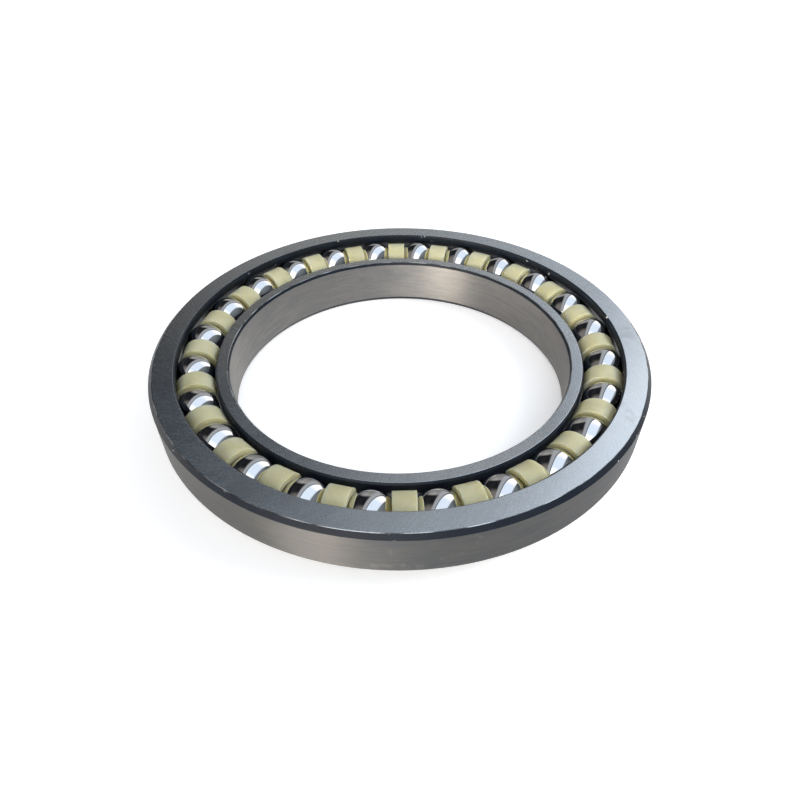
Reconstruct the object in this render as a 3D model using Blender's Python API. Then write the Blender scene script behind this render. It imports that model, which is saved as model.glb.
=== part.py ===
"""Large single-row angular contact ball bearing with loose spacers between its balls.

Metres, +Z up, the bearing's axis on Z. The origin is the centre of the lower face of the
inner ring, on which the bearing stands. The outer ring sits higher than the inner ring,
so its lower face is clear of the surface that the bearing stands on. The load runs from
the outer ring's upper shoulder, through the balls, to the inner ring's lower shoulder.
"""
import math

import bmesh
import bpy
from mathutils import Matrix, Vector

# Boundary dimensions
BORE_RADIUS = 0.105
OUTSIDE_RADIUS = 0.150
WIDTH = 0.040
INNER_RING_WIDTH = 0.0325
OUTER_RING_WIDTH = 0.028

# Balls and raceways
ELEMENT_COUNT = 24
BALL_RADIUS = 0.0127
PITCH_RADIUS = 0.1267
BALL_CENTRE_HEIGHT = 0.0246
CONTACT_ANGLE = math.radians(37.0)
RACE_CONFORMITY = 0.52          # raceway radius as a share of the ball's diameter
RUNNING_GAP = 0.0003
RACE_RADIUS = 2.0 * RACE_CONFORMITY * BALL_RADIUS
RACE_OFFSET = RACE_RADIUS - BALL_RADIUS - RUNNING_GAP

# Shoulders, heels and edges of the rings
OUTER_SHOULDER_RADIUS = 0.1350
INNER_SHOULDER_RADIUS = 0.1177
HEEL_ANGLE = math.radians(8.0)  # how far each raceway runs past the level of the balls
INNER_TOP_RADIUS = 0.1132
OUTSIDE_CHAMFER = 0.0024
FACE_CHAMFER = 0.0007
UPPER_BORE_CHAMFER = (0.0010, 0.0018)  # across the face, along the bore
LOWER_BORE_CHAMFER = (0.0016, 0.0028)
ENTRY_CHAMFER = 0.0010

# Spacers
SPACER_RADIUS = 0.0116
SPACER_HALF_LENGTH = 0.0061
POCKET_RADIUS = BALL_RADIUS + 0.0004
FIRST_SPACER_AZIMUTH = math.radians(0.9)

# Facets
RING_SEGMENTS = 72
RACE_STEPS = 7
SPACER_SEGMENTS = 14
POCKET_STEPS = 2
BALL_SEGMENTS = 14
BALL_BANDS = 8
MERGE_DISTANCE = 0.000001
SMOOTH_ANGLE = math.radians(35.0)

PITCH_ANGLE = 2.0 * math.pi / ELEMENT_COUNT
# Each spacer's axis is the chord between the centres of its two balls.
SPACER_AXIS_RADIUS = PITCH_RADIUS * math.cos(PITCH_ANGLE / 2.0)
BALL_TO_SPACER = PITCH_RADIUS * math.sin(PITCH_ANGLE / 2.0)


def clear_scene():
    """Remove every object that the opened file holds."""
    for old in list(bpy.data.objects):
        bpy.data.objects.remove(old, do_unlink=True)


def finish_material(name, colour, metallic, roughness):
    """A Principled material with one finish."""
    material = bpy.data.materials.new(name)
    material.use_nodes = True
    shader = material.node_tree.nodes["Principled BSDF"]
    shader.inputs["Base Color"].default_value = (*colour, 1.0)
    shader.inputs["Metallic"].default_value = metallic
    shader.inputs["Roughness"].default_value = roughness
    return material


def arc(centre, radius, start, end, steps):
    """Points along an arc in the radius-height plane, both ends included."""
    points = []
    for step in range(steps + 1):
        angle = start + (end - start) * step / steps
        points.append((centre[0] + radius * math.cos(angle), centre[1] + radius * math.sin(angle)))
    return points


def turned_mesh(name, profile, segments, closed):
    """Turn a (radius, height) profile round Z into one closed mesh."""
    shape = bmesh.new()
    verts = [shape.verts.new((radius, 0.0, height)) for radius, height in profile]
    edges = [shape.edges.new(pair) for pair in zip(verts, verts[1:])]
    if closed:
        edges.append(shape.edges.new((verts[-1], verts[0])))
    bmesh.ops.spin(shape, geom=verts + edges, cent=(0, 0, 0), axis=(0, 0, 1),
                   angle=2.0 * math.pi, steps=segments, use_merge=True)
    bmesh.ops.remove_doubles(shape, verts=shape.verts, dist=MERGE_DISTANCE)
    bmesh.ops.recalc_face_normals(shape, faces=shape.faces)
    mesh = bpy.data.meshes.new(name)
    shape.to_mesh(mesh)
    shape.free()
    mesh.shade_smooth()
    mesh.set_sharp_from_angle(angle=SMOOTH_ANGLE)
    return mesh


def add_object(name, mesh, parent=None):
    """Put a mesh into the scene as a named object."""
    item = bpy.data.objects.new(name, mesh)
    bpy.context.scene.collection.objects.link(item)
    item.parent = parent
    return item


def outer_ring_profile():
    """Down the outside, in along the lower face, up the raceway and shoulder, and back out."""
    bottom = WIDTH - OUTER_RING_WIDTH
    centre = (PITCH_RADIUS - RACE_OFFSET * math.cos(CONTACT_ANGLE),
              BALL_CENTRE_HEIGHT - RACE_OFFSET * math.sin(CONTACT_ANGLE))
    shoulder = math.acos((OUTER_SHOULDER_RADIUS - centre[0]) / RACE_RADIUS)
    heel_radius = centre[0] + RACE_RADIUS * math.cos(HEEL_ANGLE)
    profile = [
        (OUTSIDE_RADIUS - OUTSIDE_CHAMFER, WIDTH),
        (OUTSIDE_RADIUS, WIDTH - OUTSIDE_CHAMFER),
        (OUTSIDE_RADIUS, bottom + OUTSIDE_CHAMFER),
        (OUTSIDE_RADIUS - OUTSIDE_CHAMFER, bottom),
        (heel_radius + ENTRY_CHAMFER, bottom),
        (heel_radius, bottom + ENTRY_CHAMFER),
    ]
    profile += arc(centre, RACE_RADIUS, -HEEL_ANGLE, shoulder, RACE_STEPS)
    profile += [
        (OUTER_SHOULDER_RADIUS, WIDTH - FACE_CHAMFER),
        (OUTER_SHOULDER_RADIUS + FACE_CHAMFER, WIDTH),
    ]
    return profile


def inner_ring_profile():
    """Down the relieved land, the raceway and the lower shoulder, in, and up the bore."""
    centre = (PITCH_RADIUS + RACE_OFFSET * math.cos(CONTACT_ANGLE),
              BALL_CENTRE_HEIGHT + RACE_OFFSET * math.sin(CONTACT_ANGLE))
    shoulder = math.acos((centre[0] - INNER_SHOULDER_RADIUS) / RACE_RADIUS)
    profile = [
        (INNER_TOP_RADIUS - ENTRY_CHAMFER, INNER_RING_WIDTH),
        (INNER_TOP_RADIUS, INNER_RING_WIDTH - ENTRY_CHAMFER),
    ]
    profile += arc(centre, RACE_RADIUS, math.pi - HEEL_ANGLE, math.pi + shoulder, RACE_STEPS)
    profile += [
        (INNER_SHOULDER_RADIUS, ENTRY_CHAMFER),
        (INNER_SHOULDER_RADIUS - ENTRY_CHAMFER, 0.0),
        (BORE_RADIUS + LOWER_BORE_CHAMFER[0], 0.0),
        (BORE_RADIUS, LOWER_BORE_CHAMFER[1]),
        (BORE_RADIUS, INNER_RING_WIDTH - UPPER_BORE_CHAMFER[1]),
        (BORE_RADIUS + UPPER_BORE_CHAMFER[0], INNER_RING_WIDTH),
    ]
    return profile


def spacer_profile():
    """Half outline of a spacer on its own axis: a pocket, the outside, the other pocket."""
    rim_angle = math.acos((BALL_TO_SPACER - SPACER_HALF_LENGTH) / POCKET_RADIUS)
    upper = arc((0.0, BALL_TO_SPACER), POCKET_RADIUS, -math.pi / 2.0,
                -math.pi / 2.0 + rim_angle, POCKET_STEPS)
    upper[0] = (0.0, upper[0][1])
    upper.append((SPACER_RADIUS, SPACER_HALF_LENGTH))
    lower = [(radius, -height) for radius, height in reversed(upper)]
    return upper + lower


def ball_mesh():
    """A ball whose poles lie on its own Z."""
    shape = bmesh.new()
    bmesh.ops.create_uvsphere(shape, u_segments=BALL_SEGMENTS, v_segments=BALL_BANDS,
                              radius=BALL_RADIUS)
    mesh = bpy.data.meshes.new("ball")
    shape.to_mesh(mesh)
    shape.free()
    mesh.shade_smooth()
    return mesh


def add_rings(centre_axis):
    """The two rings, turned round the bearing's axis."""
    inner_mesh = turned_mesh("inner_ring", inner_ring_profile(), RING_SEGMENTS, True)
    inner_mesh.materials.append(finish_material("inner_ring_steel", (0.42, 0.45, 0.48), 1.0, 0.38))
    add_object("inner_ring", inner_mesh)
    outer_mesh = turned_mesh("outer_ring", outer_ring_profile(), RING_SEGMENTS, True)
    outer_mesh.materials.append(finish_material("outer_ring_steel", (0.40, 0.43, 0.47), 1.0, 0.40))
    add_object("outer_ring", outer_mesh, centre_axis)


def add_spacers(ball_set):
    """The spacers, each lying on the chord between the centres of its two balls."""
    mesh = turned_mesh("spacer", spacer_profile(), SPACER_SEGMENTS, False)
    mesh.materials.append(finish_material("spacer_nylon", (0.58, 0.53, 0.31), 0.0, 0.45))
    lay_down = Matrix.Rotation(math.radians(-90.0), 4, 'X')
    for index in range(ELEMENT_COUNT):
        azimuth = FIRST_SPACER_AZIMUTH + index * PITCH_ANGLE
        spacer = add_object(f"spacer_{index + 1:02d}", mesh, ball_set)
        out = Matrix.Translation(Vector((SPACER_AXIS_RADIUS, 0.0, BALL_CENTRE_HEIGHT)))
        spacer.matrix_local = Matrix.Rotation(azimuth, 4, 'Z') @ out @ lay_down


def add_balls(ball_set):
    """The balls, each turned so that its own Z is the axis that it rolls about."""
    mesh = ball_mesh()
    mesh.materials.append(finish_material("ball_steel", (0.78, 0.79, 0.81), 1.0, 0.06))
    lean = Matrix.Rotation(-CONTACT_ANGLE, 4, 'Y')
    for index in range(ELEMENT_COUNT):
        azimuth = FIRST_SPACER_AZIMUTH + (index + 0.5) * PITCH_ANGLE
        ball = add_object(f"ball_{index + 1:02d}", mesh, ball_set)
        out = Matrix.Translation(Vector((PITCH_RADIUS, 0.0, BALL_CENTRE_HEIGHT)))
        ball.matrix_local = Matrix.Rotation(azimuth, 4, 'Z') @ out @ lean


clear_scene()
outer_axis = add_object("outer_ring_axis", None)
ball_set_axis = add_object("ball_set_axis", None)
add_rings(outer_axis)
add_spacers(ball_set_axis)
add_balls(ball_set_axis)
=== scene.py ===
"""A large angular contact ball bearing with loose nylon spacers, standing on a pale table.

Metres, +Z up, the bearing's axis on Z and its lower face on Z = 0. Every piece is a turned
surface: an outline in the radius-height plane, carried round an axis.
"""
import math

import bpy
import numpy as np
from mathutils import Matrix, Vector


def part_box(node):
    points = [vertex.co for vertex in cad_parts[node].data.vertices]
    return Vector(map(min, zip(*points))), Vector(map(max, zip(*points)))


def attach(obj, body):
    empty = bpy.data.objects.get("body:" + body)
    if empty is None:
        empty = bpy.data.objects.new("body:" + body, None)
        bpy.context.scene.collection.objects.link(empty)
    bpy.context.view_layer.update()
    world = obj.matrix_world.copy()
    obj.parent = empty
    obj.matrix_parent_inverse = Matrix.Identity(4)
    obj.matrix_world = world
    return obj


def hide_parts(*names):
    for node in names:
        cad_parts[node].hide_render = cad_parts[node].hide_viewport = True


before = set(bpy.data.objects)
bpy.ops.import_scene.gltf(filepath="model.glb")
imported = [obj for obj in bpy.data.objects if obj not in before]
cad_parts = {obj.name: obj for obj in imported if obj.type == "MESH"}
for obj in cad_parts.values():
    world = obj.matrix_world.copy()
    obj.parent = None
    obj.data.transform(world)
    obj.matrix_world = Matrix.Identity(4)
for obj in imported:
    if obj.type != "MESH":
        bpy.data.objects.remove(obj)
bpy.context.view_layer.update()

# ---------------------------------------------------------------------------------------
# The view
# A wide lens close to the bearing, from above the near side, so the near rim looks large
# and the far rim small. The table is a plain white sheet.
# ---------------------------------------------------------------------------------------
EYE = Vector((0.0001, -0.3086, 0.2620))
LOOKS_AT = Vector((0.0001, -0.0595, 0.0400))
LENS_MM = 27.42
SENSOR_MM = 36.0
ROLL = math.radians(-0.417)

camera_data = bpy.data.cameras.new("camera")
camera_data.lens = LENS_MM
camera_data.sensor_width = SENSOR_MM
camera_data.clip_start = 0.01
camera = bpy.data.objects.new("camera", camera_data)
bpy.context.scene.collection.objects.link(camera)
aim = (LOOKS_AT - EYE).to_track_quat('-Z', 'Y').to_matrix().to_4x4()
camera.matrix_world = Matrix.Translation(EYE) @ aim @ Matrix.Rotation(ROLL, 4, 'Z')
bpy.context.scene.camera = camera
bpy.context.scene.view_settings.view_transform = "Standard"


class Wire:
    """A node's output socket; arithmetic on wires adds Math nodes to their tree."""

    def __init__(self, tree, socket=None):
        self.tree = tree
        self.socket = socket

    def node(self, kind, settings=None, values=None, output=0):
        """Add a node of one type: its settings first, then its sockets' values or links."""
        made = self.tree.nodes.new(kind)
        for name, setting in (settings or {}).items():
            setattr(made, name, setting)
        for name, value in (values or {}).items():
            if isinstance(value, Wire):
                self.tree.links.new(value.socket, made.inputs[name])
            else:
                made.inputs[name].default_value = value
        return Wire(self.tree, made.outputs[output])

    def maths(self, operation, *terms):
        """A Math node on this wire and any further terms."""
        values = dict(enumerate((self, *terms)))
        return self.node("ShaderNodeMath", {"operation": operation}, values)

    def __add__(self, other):
        return self.maths("ADD", other)

    __radd__ = __add__

    def __mul__(self, other):
        return self.maths("MULTIPLY", other)

    __rmul__ = __mul__

    def __sub__(self, other):
        return self.maths("SUBTRACT", other)

    def __rsub__(self, other):
        return self.node("ShaderNodeMath", {"operation": "SUBTRACT"}, {0: other, 1: self})

    def __truediv__(self, other):
        return self.maths("DIVIDE", other)

    def ease(self, low, high):
        """0 below low, 1 above high, and a smooth rise between them."""
        return self.node("ShaderNodeMapRange", {"interpolation_type": "SMOOTHSTEP"},
                         {"Value": self, "From Min": low, "From Max": high})

    def pick(self, off, on):
        """A colour that goes from off to on as this wire goes from 0 to 1."""
        return self.node("ShaderNodeMix", {"data_type": "RGBA"}, {0: self, 6: off, 7: on}, 2)

    def along(self, direction):
        """This vector's dot product with a fixed direction."""
        settings = {"operation": "DOT_PRODUCT"}
        return self.node("ShaderNodeVectorMath", settings, {0: self, 1: direction}, "Value")

    def axes(self):
        """This vector's three parts."""
        split = self.node("ShaderNodeSeparateXYZ", None, {0: self})
        outputs = split.socket.node.outputs
        return [Wire(self.tree, outputs[axis]) for axis in range(3)]

    def vector(self, *parts):
        """A vector of three wires or numbers."""
        return self.node("ShaderNodeCombineXYZ", None, dict(enumerate(parts)))

    def noise(self, vector, scale, detail=2.0, roughness=0.5):
        """Smooth noise from 0 to 1 over a vector."""
        values = {"Vector": vector, "Scale": scale, "Detail": detail, "Roughness": roughness}
        return self.node("ShaderNodeTexNoise", None, values, "Fac")

    def relief(self, height, strength, distance):
        """A bump whose height is a wire."""
        values = {"Strength": strength, "Distance": distance, "Height": height}
        return self.node("ShaderNodeBump", None, values)


def colour(red, green, blue):
    """An opaque colour."""
    return (red, green, blue, 1.0)


def toward(azimuth, elevation):
    """The unit direction at an azimuth from +X towards +Y and an elevation, in degrees."""
    turn = math.radians(azimuth)
    rise = math.radians(elevation)
    flat = math.cos(rise)
    return (flat * math.cos(turn), flat * math.sin(turn), math.sin(rise))


# The room: one long white skylight runs from the back right over the top to the front left,
# with a thin dark frame and a pale reveal on its left. The wall at the back is grey, the
# left is dark, the right is a dim blue grey, and a sunny doorway stands at the front left.
world = bpy.data.worlds.new("studio")
bpy.context.scene.world = world
world.use_nodes = True
sky = Wire(world.node_tree)
gaze = sky.node("ShaderNodeTexCoord", output="Generated")
haze = sky.noise(gaze, 2.2, 4.0)
past_left = gaze.along(toward(-29, 8))
past_right = gaze.along(toward(-24, -17)) - 0.283
length = gaze.along(toward(61, 0))
rise = gaze.along((0, 0, 1))
dark_wall = haze.ease(0.35, 0.65).pick(colour(0.006, 0.007, 0.009), colour(0.022, 0.023, 0.025))
back_wall = haze.ease(0.35, 0.65).pick(colour(0.250, 0.246, 0.240), colour(0.400, 0.385, 0.365))
back_share = gaze.along(toward(90, 13)).ease(0.875, 0.955)
front_share = gaze.along(toward(-145, 30)).ease(0.60, 0.92) * 0.9
left_room = front_share.pick(back_share.pick(dark_wall, back_wall), colour(0.23, 0.21, 0.19))
reveal = past_left.ease(-0.345, -0.225)
left_room = reveal.pick(left_room, colour(0.42, 0.435, 0.45))
frame_line = past_left.ease(-0.060, -0.040)
left_room = frame_line.pick(left_room, colour(0.045, 0.055, 0.070))
right_room = rise.ease(0.10, 0.80).pick(colour(0.050, 0.060, 0.066), colour(0.200, 0.225, 0.240))
back_end = length.ease(0.55, 0.95)
front_end = (0 - length).ease(0.20, 0.75)
pane = haze.pick(colour(0.80, 0.94, 1.12), colour(0.98, 1.08, 1.20))
pane = back_end.pick(pane, colour(1.40, 1.36, 1.32))
pane = front_end.pick(pane, colour(1.9, 1.85, 1.8))
inside = past_left.ease(-0.012, 0.018)
outside = past_right.ease(-0.03, 0.05)
seen = inside.pick(left_room, outside.pick(pane, right_room))
low_left = gaze.along(toward(-168, 0)).ease(0.70, 0.90) * (1 - rise.ease(0.10, 0.18))
seen = low_left.pick(seen, colour(3.6, 3.45, 3.15))
doorway = gaze.along(toward(-123, 6)).ease(0.955, 0.988)
seen = doorway.pick(seen, colour(14.0, 12.5, 10.6))
background = world.node_tree.nodes["Background"]
background.inputs["Strength"].default_value = 1.15
world.node_tree.links.new(seen.socket, background.inputs["Color"])

# A broad lamp above the right side fills the hollows; polished steel doesn't show it.
lamp_data = bpy.data.lights.new("lamp", 'AREA')
lamp_data.shape = 'DISK'
lamp_data.size = 0.7
lamp_data.energy = 8.5
lamp_data.color = (1.0, 0.98, 0.95)
lamp = bpy.data.objects.new("lamp", lamp_data)
LAMP_PLACE = Vector((1.00, -0.05, 0.85))
lamp_turn = LAMP_PLACE.to_track_quat('Z', 'Y').to_matrix().to_4x4()
lamp.matrix_world = Matrix.Translation(LAMP_PLACE) @ lamp_turn
lamp.visible_glossy = False
bpy.context.scene.collection.objects.link(lamp)

TABLE_HALF = 4.0
table_mesh = bpy.data.meshes.new("table")
corners = TABLE_HALF * np.array([(-1, -1, 0), (1, -1, 0), (1, 1, 0), (-1, 1, 0)], float)
table_mesh.from_pydata(corners.tolist(), [], [(0, 1, 2, 3)])
table = bpy.data.objects.new("table", table_mesh)
bpy.context.scene.collection.objects.link(table)
white_sheet = bpy.data.materials.new("white_sheet")
white_sheet.use_nodes = True
sheet = white_sheet.node_tree.nodes["Principled BSDF"].inputs
sheet["Base Color"].default_value = colour(0.85, 0.85, 0.86)
sheet["Roughness"].default_value = 0.8
sheet["Specular IOR Level"].default_value = 0.1
sheet["Emission Color"].default_value = colour(1.0, 1.0, 1.0)
sheet["Emission Strength"].default_value = 0.42
table_mesh.materials.append(white_sheet)

# A white screen stands round the table as a plain backdrop. It lights and mirrors nothing.
SCREEN_RADIUS = 3.8
SCREEN_HEIGHT = 8.0
SCREEN_PANELS = 64
panel_angle = np.arange(SCREEN_PANELS) * (2.0 * math.pi / SCREEN_PANELS)
foot = np.column_stack((np.cos(panel_angle), np.sin(panel_angle), np.zeros(SCREEN_PANELS)))
foot = SCREEN_RADIUS * foot
head = foot + (0.0, 0.0, SCREEN_HEIGHT)
here = np.arange(SCREEN_PANELS)
after = (here + 1) % SCREEN_PANELS
panels = np.column_stack((here, here + SCREEN_PANELS, after + SCREEN_PANELS, after))
screen_mesh = bpy.data.meshes.new("screen")
screen_mesh.from_pydata(np.concatenate((foot, head)).tolist(), [], panels.tolist())
screen = bpy.data.objects.new("screen", screen_mesh)
bpy.context.scene.collection.objects.link(screen)
bright_cloth = bpy.data.materials.new("bright_cloth")
bright_cloth.use_nodes = True
cloth = bright_cloth.node_tree.nodes["Principled BSDF"].inputs
cloth["Base Color"].default_value = colour(0.8, 0.8, 0.8)
cloth["Emission Color"].default_value = colour(1.0, 1.0, 1.0)
cloth["Emission Strength"].default_value = 1.0
screen_mesh.materials.append(bright_cloth)
screen.visible_diffuse = False
screen.visible_glossy = False
screen.visible_transmission = False
screen.visible_shadow = False

# ---------------------------------------------------------------------------------------
# The outer ring
# Through-hardened bearing steel: forged, turned, hardened black, and then ground bright on
# its faces, outside and raceway. The chamfers and the shoulder's bore keep the black skin.
# ---------------------------------------------------------------------------------------
outer_low, outer_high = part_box("outer_ring")
inner_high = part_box("inner_ring")[1]

OUTSIDE = outer_high.x
OUTER_TOP = outer_high.z
OUTER_BOTTOM = outer_low.z
BALL_RADIUS = 0.0127
PITCH_RADIUS = 0.1267
BALL_LEVEL = 0.0246
CONTACT = math.radians(37.0)
RUNNING_GAP = 0.0003
RACE_RADIUS = 1.04 * BALL_RADIUS
RACE_OFFSET = RACE_RADIUS - BALL_RADIUS - RUNNING_GAP
HEEL = math.radians(8.0)
OUTER_SHOULDER = 0.1350
OUTSIDE_CHAMFER = 0.0024
FACE_CHAMFER = 0.0007
ENTRY_CHAMFER = 0.0010
EDGE_ROUND = 0.00020       # what the stone leaves of each ground edge
SUPPORT = 0.00006          # a loop this far from each edge keeps the flats flat
RING_SEGMENTS = 480
RACE_STEPS = 20
GROUND, TURNED, BLACK, RACE, EDGE = 0, 1, 2, 3, 4


def race_arc(centre, start, end):
    """Points at equal angles on a circle of the raceway's radius about a centre."""
    angles = np.linspace(start, end, RACE_STEPS + 1)
    return np.column_stack((centre[0] + RACE_RADIUS * np.cos(angles),
                            centre[1] + RACE_RADIUS * np.sin(angles)))


def eased_outline(corners, finishes, arcs, arc_finish, bright):
    """A closed outline with small rounds at its corners.

    Each corner becomes three points of a curve whose outer two lie one round's length
    along its sides, and each straight side gets a support point near both ends. A corner
    named in arcs is swapped for that array of points. The finish of each stretch comes
    with it, as one number for each point's stretch to the next; corners in bright are worn.
    """
    points, marks = [], []
    count = len(corners)
    for index in range(count):
        here = np.array(corners[index])
        if index in arcs:
            points.append(arcs[index])
            marks += [arc_finish] * (len(arcs[index]) - 1) + [finishes[index]]
            continue
        following = (index + 1) % count
        came_from = arcs[index - 1][-1] if index - 1 in arcs else corners[index - 1]
        goes_to = arcs[following][0] if following in arcs else corners[following]
        before = here - np.array(came_from)
        after = np.array(goes_to) - here
        before = before / np.linalg.norm(before)
        after = after / np.linalg.norm(after)
        first = here - before * EDGE_ROUND
        last = here + after * EDGE_ROUND
        middle = (first + 2 * here + last) / 4
        points.append(np.array([first - before * SUPPORT, first, middle, last, last + after * SUPPORT]))
        worn = (EDGE, EDGE) if index in bright else (finishes[index - 1], finishes[index])
        marks += [finishes[index - 1], *worn, finishes[index], finishes[index]]
    return np.concatenate(points), np.array(marks)


def turned_ring(name, outline, marks, materials):
    """A closed outline carried round Z.

    Point i of the outline at turn j is (radius_i cos t_j, radius_i sin t_j, height_i),
    with t_j equal steps of one full turn. Each quad joins points i and i+1 at turns j and
    j+1, and both directions close on themselves.
    """
    turns = np.linspace(0.0, 2.0 * math.pi, RING_SEGMENTS, endpoint=False)
    radius, level = outline.T
    rows = len(outline)
    grid = np.empty((RING_SEGMENTS, rows, 3))
    grid[..., 0] = np.cos(turns)[:, None] * radius
    grid[..., 1] = np.sin(turns)[:, None] * radius
    grid[..., 2] = level
    here = np.arange(RING_SEGMENTS * rows).reshape(RING_SEGMENTS, rows)
    ahead = np.roll(here, -1, axis=0)
    quads = np.stack((here, np.roll(here, -1, axis=1), np.roll(ahead, -1, axis=1), ahead), axis=-1)
    mesh = bpy.data.meshes.new(name)
    mesh.from_pydata(grid.reshape(-1, 3), [], quads.reshape(-1, 4)[:, ::-1].tolist())
    mesh.polygons.foreach_set("material_index", np.tile(marks, RING_SEGMENTS).astype(np.int32))
    for material in materials:
        mesh.materials.append(material)
    mesh.shade_smooth()
    piece = bpy.data.objects.new(name, mesh)
    bpy.context.scene.collection.objects.link(piece)
    return piece


def new_finish(name):
    """A new material, its Principled sockets, a wire into its tree and Object coordinates."""
    material = bpy.data.materials.new(name)
    material.use_nodes = True
    shader = material.node_tree.nodes["Principled BSDF"]
    wire = Wire(material.node_tree)
    place = wire.node("ShaderNodeTexCoord", output="Object")
    return material, shader, wire, place


def feed(shader, wires, numbers):
    """Link wires to a shader's sockets and set plain numbers on others."""
    for socket, wire in wires.items():
        wire.tree.links.new(wire.socket, shader.inputs[socket])
    for socket, number in numbers.items():
        shader.inputs[socket].default_value = number


def ring_directions(place):
    """Cosine and sine of the turn round Z, the radius and the height, at each point."""
    across, back, level = place.axes()
    radius = (across * across + back * back).maths("SQRT")
    return across / radius, back / radius, radius, level


def face_ground(name, tone, smudge):
    """Steel faced on a rotary grinder: fine marks run across the face, a little slanted."""
    material, shader, wire, place = new_finish(name)
    cosine, sine, radius = ring_directions(place)[:3]
    slant = (radius - 0.12) * 7.0
    across = cosine - sine * slant
    back = sine + cosine * slant
    fine = wire.noise(wire.vector(across, back, radius * 3.0), 420.0, 2.0)
    coarse = wire.noise(wire.vector(across, back, radius * 1.5), 110.0, 3.0, 0.6)
    cross = wire.noise(wire.vector(cosine + sine * slant, sine - cosine * slant, radius), 260.0, 1.0)
    cloud = wire.noise(place, 32.0, 4.0, 0.6)
    stain = wire.noise(place, 95.0, 4.0, 0.62).ease(0.50, 0.66) * cloud.ease(0.46, 0.60)
    marks = (fine * 0.46 + coarse * 0.40 + cross * 0.14).ease(0.34, 0.66)
    darker = colour(*[channel * 0.90 for channel in tone])
    paler = colour(*[channel * 1.09 for channel in tone])
    finish = (marks * 0.75 + cloud.ease(0.3, 0.7) * 0.25).pick(darker, paler)
    finish = (stain * smudge).pick(finish, colour(tone[0] * 0.62, tone[1] * 0.58, tone[2] * 0.54))
    rough = 0.225 + marks * 0.03 + cloud * 0.05 + stain * (0.10 * smudge)
    bump = wire.relief(marks, 0.012, 0.0002)
    feed(shader, {"Base Color": finish, "Roughness": rough, "Normal": bump},
         {"Metallic": 1.0, "Anisotropic": 0.74})
    return material


def round_ground(name, tone, warm, spots):
    """Steel ground round: fine rings along the turn, faint blotches and dried oil spots."""
    material, shader, wire, place = new_finish(name)
    cosine, sine, _, level = ring_directions(place)
    rings = wire.noise(wire.vector(cosine * 0.010, sine * 0.010, level), 2400.0, 3.0)
    bands = wire.noise(wire.vector(cosine * 0.015, sine * 0.015, level), 420.0, 2.0)
    cloud = wire.noise(place, 26.0, 3.0, 0.5)
    spotted = wire.noise(place, 150.0, 3.0, 0.65).ease(0.58, 0.70)
    stain = spotted * wire.noise(place, 22.0, 1.0).ease(0.52, 0.62)
    shade = (rings * 0.40 + bands * 0.40 + cloud * 0.20).ease(0.34, 0.66)
    darker = colour(*[channel * 0.93 for channel in tone])
    paler = colour(*[channel * 1.04 for channel in warm])
    finish = shade.pick(darker, paler)
    finish = (stain * spots).pick(finish, colour(tone[0] * 1.7, tone[1] * 1.6, tone[2] * 1.5))
    rough = 0.43 + rings * 0.04 + cloud * 0.03
    bump = wire.relief(rings + bands, 0.06, 0.0001)
    feed(shader, {"Base Color": finish, "Roughness": rough, "Normal": bump},
         {"Metallic": 1.0, "Anisotropic": 0.95, "Anisotropic Rotation": 0.25})
    return material


def black_skin(name, nicks):
    """The blue-black skin that hardening leaves, with a few bright nicks down to the steel."""
    material, shader, wire, place = new_finish(name)
    cloud = wire.noise(place, 90.0, 4.0, 0.6)
    dots = wire.noise(place, 430.0, 1.0).ease(0.70, 0.74)
    speck = dots * wire.noise(place, 48.0, 1.0).ease(0.54, 0.60)
    skin = cloud.pick(colour(0.0070, 0.0100, 0.0170), colour(0.0170, 0.0225, 0.0320))
    finish = (speck * nicks).pick(skin, colour(0.80, 0.80, 0.78))
    rough = 0.30 + cloud * 0.14
    bump = wire.relief(cloud - speck * 0.5, 0.2, 0.0002)
    feed(shader, {"Base Color": finish, "Roughness": rough, "Normal": bump}, {"Specular IOR Level": 0.22})
    return material


def raceway(name):
    """The honed track that the balls run in, given a very dark tone."""
    material, shader, wire, place = new_finish(name)
    cosine, sine, radius, level = ring_directions(place)
    hone = wire.noise(wire.vector(cosine * 0.02, sine * 0.02, level + radius), 2200.0, 2.0)
    finish = hone.pick(colour(0.060, 0.064, 0.072), colour(0.110, 0.115, 0.125))
    rough = 0.16 + hone * 0.12
    feed(shader, {"Base Color": finish, "Roughness": rough},
         {"Metallic": 1.0, "Anisotropic": 0.5, "Anisotropic Rotation": 0.25})
    return material


def worn_edge(name):
    """A corner that handling has rubbed bright, unevenly, so it glints in places."""
    material, shader, wire, place = new_finish(name)
    rub = wire.noise(place, 60.0, 3.0).ease(0.40, 0.62)
    finish = rub.pick(colour(0.10, 0.11, 0.12), colour(0.78, 0.80, 0.82))
    feed(shader, {"Base Color": finish, "Roughness": 0.30 + rub * 0.10}, {"Metallic": 1.0})
    return material


outer_centre = (PITCH_RADIUS - RACE_OFFSET * math.cos(CONTACT),
                BALL_LEVEL - RACE_OFFSET * math.sin(CONTACT))
outer_rise = math.acos((OUTER_SHOULDER - outer_centre[0]) / RACE_RADIUS)
outer_arc = race_arc(outer_centre, -HEEL, outer_rise)
heel_radius = outer_arc[0][0]
outer_corners = [
    (OUTER_SHOULDER + FACE_CHAMFER, OUTER_TOP),
    (OUTSIDE - OUTSIDE_CHAMFER, OUTER_TOP),
    (OUTSIDE, OUTER_TOP - OUTSIDE_CHAMFER),
    (OUTSIDE, OUTER_BOTTOM + OUTSIDE_CHAMFER),
    (OUTSIDE - OUTSIDE_CHAMFER, OUTER_BOTTOM),
    (heel_radius + ENTRY_CHAMFER, OUTER_BOTTOM),
    (heel_radius, OUTER_BOTTOM + ENTRY_CHAMFER),
    (heel_radius, outer_arc[0][1]),
    (OUTER_SHOULDER, OUTER_TOP - FACE_CHAMFER),
]
outer_finishes = [GROUND, BLACK, TURNED, BLACK, GROUND, BLACK, BLACK, BLACK, BLACK]
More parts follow.
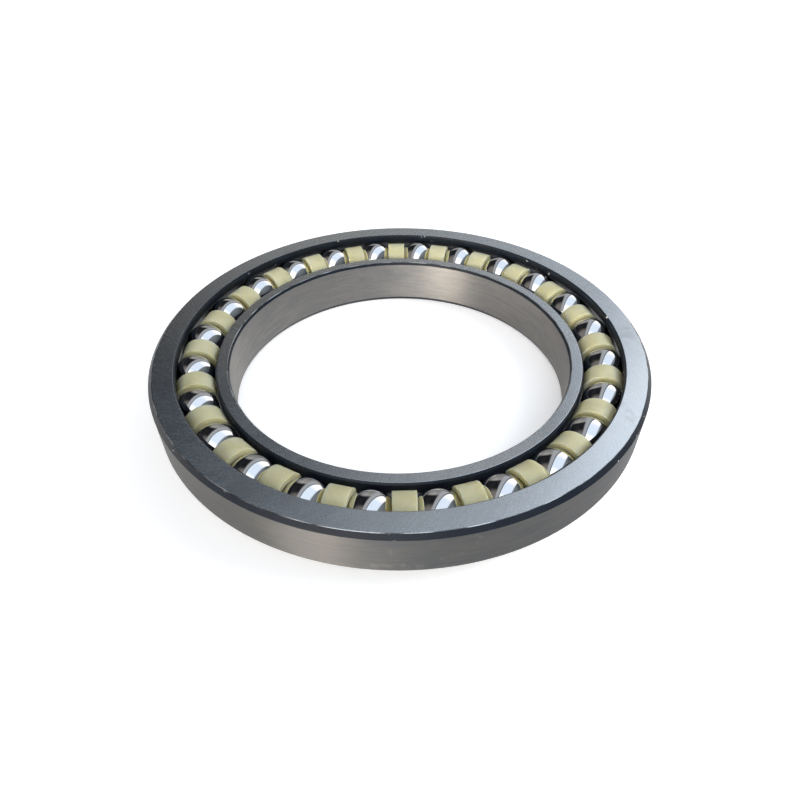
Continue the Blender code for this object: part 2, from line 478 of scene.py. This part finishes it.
outer_outline, outer_marks = eased_outline(outer_corners, outer_finishes, {7: outer_arc}, RACE, {1})
outer_materials = [
    face_ground("outer_face_ground", (0.56, 0.605, 0.65), 0.35),
    # The outside's tone is far darker than ground steel: painted shade, the dark surroundings that the
    # ground outside mirrors are painted into its colour.
    round_ground("outside_ground", (0.138, 0.144, 0.149), (0.167, 0.160, 0.150), 0.5),
    black_skin("outer_black_skin", 1.0),
    raceway("outer_raceway"),
    worn_edge("outer_edge"),
]
outer_ring = turned_ring("outer_ring_steel", outer_outline, outer_marks, outer_materials)
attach(outer_ring, "outer_ring")
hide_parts("outer_ring")

# ---------------------------------------------------------------------------------------
# The inner ring
# The same steel. Its bore and faces are ground, the land above the raceway is relieved so
# that the balls can be put in from above, and that land keeps the black skin.
# ---------------------------------------------------------------------------------------
BORE = 0.105
INNER_TOP = inner_high.z
INNER_SHOULDER = 0.1177
INNER_LAND = 0.1132
UPPER_BORE_CHAMFER = (0.0010, 0.0018)
LOWER_BORE_CHAMFER = (0.0016, 0.0028)

inner_centre = (PITCH_RADIUS + RACE_OFFSET * math.cos(CONTACT),
                BALL_LEVEL + RACE_OFFSET * math.sin(CONTACT))
inner_drop = math.acos((inner_centre[0] - INNER_SHOULDER) / RACE_RADIUS)
inner_arc = race_arc(inner_centre, math.pi - HEEL, math.pi + inner_drop)
inner_corners = [
    (BORE + UPPER_BORE_CHAMFER[0], INNER_TOP),
    (INNER_LAND - ENTRY_CHAMFER, INNER_TOP),
    (INNER_LAND, INNER_TOP - ENTRY_CHAMFER),
    tuple(inner_arc[0]),
    (INNER_SHOULDER, ENTRY_CHAMFER),
    (INNER_SHOULDER - ENTRY_CHAMFER, 0.0),
    (BORE + LOWER_BORE_CHAMFER[0], 0.0),
    (BORE, LOWER_BORE_CHAMFER[1]),
    (BORE, INNER_TOP - UPPER_BORE_CHAMFER[1]),
]
inner_finishes = [GROUND, BLACK, BLACK, BLACK, BLACK, GROUND, BLACK, TURNED, BLACK]
inner_outline, inner_marks = eased_outline(inner_corners, inner_finishes, {3: inner_arc}, RACE, {0})
inner_materials = [
    face_ground("inner_face_ground", (0.54, 0.57, 0.60), 0.4),
    round_ground("bore_ground", (0.290, 0.288, 0.284), (0.350, 0.328, 0.305), 0.2),
    black_skin("inner_black_skin", 0.0),
    raceway("inner_raceway"),
    worn_edge("inner_edge"),
]
inner_ring = turned_ring("inner_ring_steel", inner_outline, inner_marks, inner_materials)
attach(inner_ring, "inner_ring")
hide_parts("inner_ring")

# ---------------------------------------------------------------------------------------
# The balls
# Chrome steel, forged, hardened and lapped until they reflect like a mirror. Grease and
# handling leave a barely dulled film in places.
# ---------------------------------------------------------------------------------------
ELEMENT_COUNT = 24
FIRST_SPACER_AZIMUTH = math.radians(0.9)
PITCH_ANGLE = 2.0 * math.pi / ELEMENT_COUNT
BALL_SEGMENTS = 72
BALL_BANDS = 36


def turned_solid(name, outline, segments, place, material):
    """An outline from pole to pole carried round its own Z, then put in place.

    Rows of points are radius_i (cos t_j, sin t_j) at height_i. The first and last points
    of the outline lie on the axis and are one vertex each, joined to their row by
    triangles. The place, a rotation and a shift, is applied to the points.
    """
    turns = np.linspace(0.0, 2.0 * math.pi, segments, endpoint=False)
    radius, level = outline[1:-1].T
    rows = len(radius)
    grid = np.empty((rows, segments, 3))
    grid[..., 0] = radius[:, None] * np.cos(turns)
    grid[..., 1] = radius[:, None] * np.sin(turns)
    grid[..., 2] = level[:, None]
    poles = np.array([(0.0, 0.0, outline[0][1]), (0.0, 0.0, outline[-1][1])])
    points = np.concatenate((grid.reshape(-1, 3), poles))
    points = points @ np.array(place.to_3x3()).T + np.array(place.translation)
    here = np.arange(rows * segments).reshape(rows, segments)
    beside = np.roll(here, -1, axis=1)
    quads = np.stack((here[:-1], beside[:-1], beside[1:], here[1:]), axis=-1).reshape(-1, 4)
    first = np.full(segments, rows * segments)
    lower_fan = np.stack((first, beside[0], here[0]), axis=-1)
    upper_fan = np.stack((first + 1, here[-1], beside[-1]), axis=-1)
    mesh = bpy.data.meshes.new(name)
    mesh.from_pydata(points, [], quads.tolist() + lower_fan.tolist() + upper_fan.tolist())
    mesh.materials.append(material)
    mesh.shade_smooth()
    piece = bpy.data.objects.new(name, mesh)
    bpy.context.scene.collection.objects.link(piece)
    return piece


def ball_steel():
    """Lapped chrome steel with a faint film."""
    material, shader, wire, place = new_finish("lapped_ball_steel")
    film = wire.noise(place, 120.0, 3.0)
    finish = film.pick(colour(0.66, 0.67, 0.69), colour(0.74, 0.74, 0.75))
    rough = 0.02 + film.ease(0.45, 0.75) * 0.05
    feed(shader, {"Base Color": finish, "Roughness": rough}, {"Metallic": 1.0})
    return material


ball_material = ball_steel()
slopes = np.linspace(-math.pi / 2.0, math.pi / 2.0, BALL_BANDS + 1)
ball_outline = BALL_RADIUS * np.column_stack((np.cos(slopes), np.sin(slopes)))
for index in range(ELEMENT_COUNT):
    azimuth = FIRST_SPACER_AZIMUTH + (index + 0.5) * PITCH_ANGLE
    place = (Matrix.Rotation(azimuth, 4, 'Z') @ Matrix.Translation((PITCH_RADIUS, 0.0, BALL_LEVEL))
             @ Matrix.Rotation(-CONTACT, 4, 'Y'))
    node = f"ball_{index + 1:02d}"
    ball = turned_solid(f"{node}_steel", ball_outline, BALL_SEGMENTS, place, ball_material)
    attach(ball, node)
    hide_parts(node)

# ---------------------------------------------------------------------------------------
# The spacers
# Short rods of natural nylon, parted off in a lathe, with a ball-shaped hollow turned in
# each end. They are loose: each is held only by the two balls that sit in its hollows.
# ---------------------------------------------------------------------------------------
SPACER_RADIUS = 0.0116
SPACER_HALF = 0.0061
POCKET_GAP = 0.0004
POCKET_RADIUS = BALL_RADIUS + POCKET_GAP
SPACER_ROUND = 0.00025
SPACER_SEGMENTS = 96
POCKET_STEPS = 8
ROUND_STEPS = 4
SPACER_AXIS_RADIUS = PITCH_RADIUS * math.cos(PITCH_ANGLE / 2.0)
BALL_DISTANCE = PITCH_RADIUS * math.sin(PITCH_ANGLE / 2.0)


def spacer_outline():
    """From the middle of the lower hollow, round the outside, to the middle of the upper.

    The hollow is an arc about the ball's centre, the end is flat, and the outer edge is a
    quarter circle of the edge's round.
    """
    rim = math.acos((BALL_DISTANCE - SPACER_HALF) / POCKET_RADIUS)
    sweep = np.linspace(0.0, rim, POCKET_STEPS + 1)
    hollow = np.column_stack((POCKET_RADIUS * np.sin(sweep),
                              POCKET_RADIUS * np.cos(sweep) - BALL_DISTANCE))
    turn = np.linspace(-math.pi / 2.0, 0.0, ROUND_STEPS + 1)
    edge = np.column_stack((SPACER_RADIUS - SPACER_ROUND + SPACER_ROUND * np.cos(turn),
                            SPACER_ROUND - SPACER_HALF + SPACER_ROUND * np.sin(turn)))
    lead = np.array([hollow[-1] + (SUPPORT, 0.0), edge[0] - (SUPPORT, 0.0)])
    guard = np.array([edge[-1] + (0.0, SUPPORT)])
    lower = np.concatenate((hollow, lead, edge, guard))
    upper = lower[::-1] * (1.0, -1.0)
    return np.concatenate((lower, upper))


def spacer_nylon():
    """Natural nylon: ivory, a little see-through, satin, with faint cloudy patches."""
    material, shader, wire, place = new_finish("natural_nylon")
    cloud = wire.noise(place, 70.0, 3.0)
    grain = wire.noise(place, 900.0, 2.0)
    finish = cloud.ease(0.30, 0.70).pick(colour(0.50, 0.476, 0.302), colour(0.57, 0.555, 0.380))
    rough = 0.36 + cloud * 0.12 + grain * 0.06
    bump = wire.relief(grain, 0.05, 0.0002)
    feed(shader, {"Base Color": finish, "Roughness": rough, "Normal": bump},
         {"Subsurface Weight": 1.0, "Subsurface Scale": 0.013, "Specular IOR Level": 0.45})
    shader.inputs["Subsurface Radius"].default_value = (1.0, 0.85, 0.45)
    return material


nylon = spacer_nylon()
outline = spacer_outline()
for index in range(ELEMENT_COUNT):
    azimuth = FIRST_SPACER_AZIMUTH + index * PITCH_ANGLE
    place = (Matrix.Rotation(azimuth, 4, 'Z') @ Matrix.Translation((SPACER_AXIS_RADIUS, 0.0, BALL_LEVEL))
             @ Matrix.Rotation(math.radians(-90.0), 4, 'X'))
    node = f"spacer_{index + 1:02d}"
    spacer = turned_solid(f"{node}_nylon", outline, SPACER_SEGMENTS, place, nylon)
    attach(spacer, "spacer_set")
    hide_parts(node)
